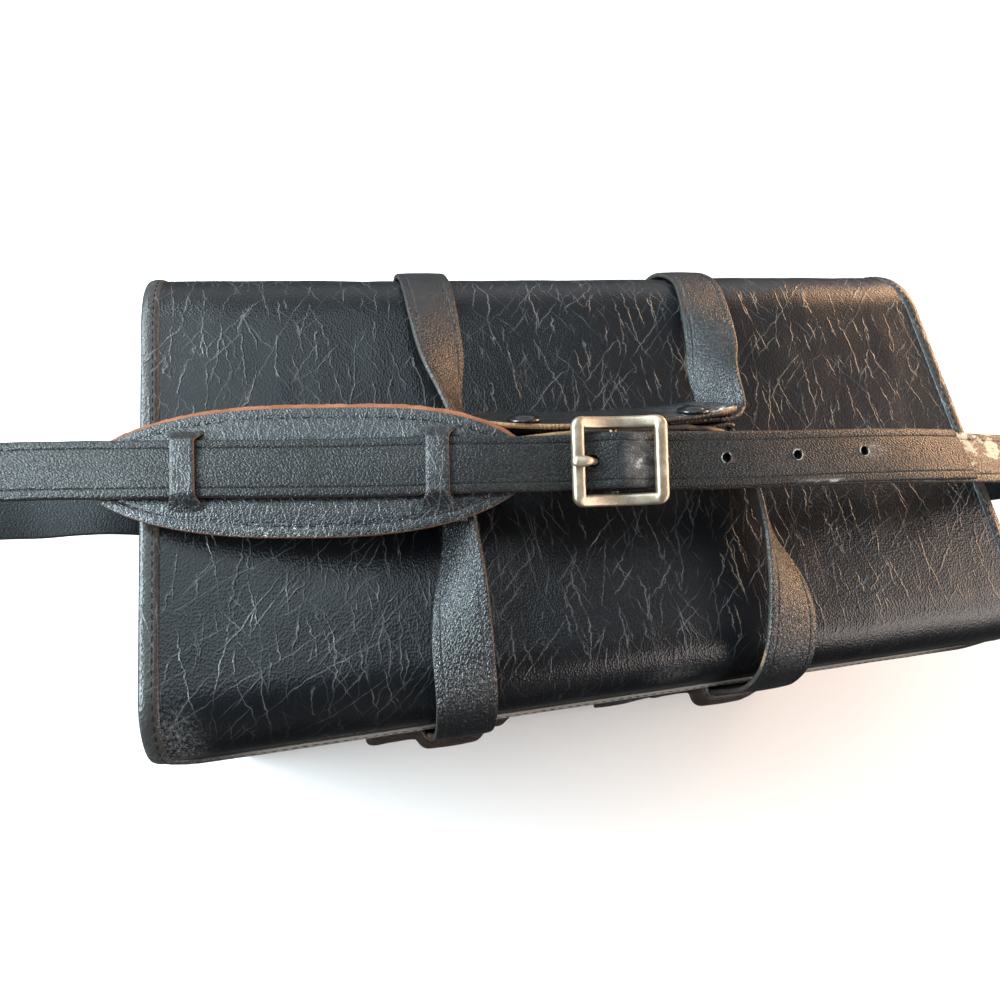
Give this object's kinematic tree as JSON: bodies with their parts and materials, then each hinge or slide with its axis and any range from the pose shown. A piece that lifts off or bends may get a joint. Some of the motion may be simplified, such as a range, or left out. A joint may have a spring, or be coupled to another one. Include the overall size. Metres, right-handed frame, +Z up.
{
  "type": "leather train case",
  "caption": "Stiff black leather case with a rolled lid, a two-strap carry handle with a snapped grip, and a buckled shoulder strap with a pad.",
  "frame": {"origin": "centre of the base's underside, on the surface it stands on", "axes": "+Z up, +X along the case's length, -Y to the front where the lid's lip is"},
  "size_m": [0.4674, 0.1933, 0.2301],
  "materials": {
    "crackle_leather": "crinkled black leathercloth with a soft gloss",
    "binding_leather": "narrow stitched edge strip",
    "strap_leather": "smooth black strap leather with tan cut edges",
    "pad_leather": "grained black leather with tan raw edges",
    "snap_metal": "black gloss enamel",
    "buckle_metal": "worn pale nickel"
  },
  "bodies": {
    "root": {"lid_back_panel": "crackle_leather", "front_panel": "crackle_leather", "base_panel": "crackle_leather", "end_panel_left": "crackle_leather", "end_panel_right": "crackle_leather", "lid_binding": "binding_leather", "handle_strap_back": "strap_leather", "handle_strap_front": "strap_leather", "handle_grip": "strap_leather", "grip_snap_left": "snap_metal", "grip_snap_right": "snap_metal", "keeper_left": "strap_leather", "keeper_right": "strap_leather", "shoulder_strap_long": "strap_leather", "shoulder_strap_short": "strap_leather", "buckle_frame": "buckle_metal", "buckle_prong": "buckle_metal", "shoulder_pad": "pad_leather", "strap_tab_left": "strap_leather", "strap_tab_right": "strap_leather"}
  },
  "joints": []
}
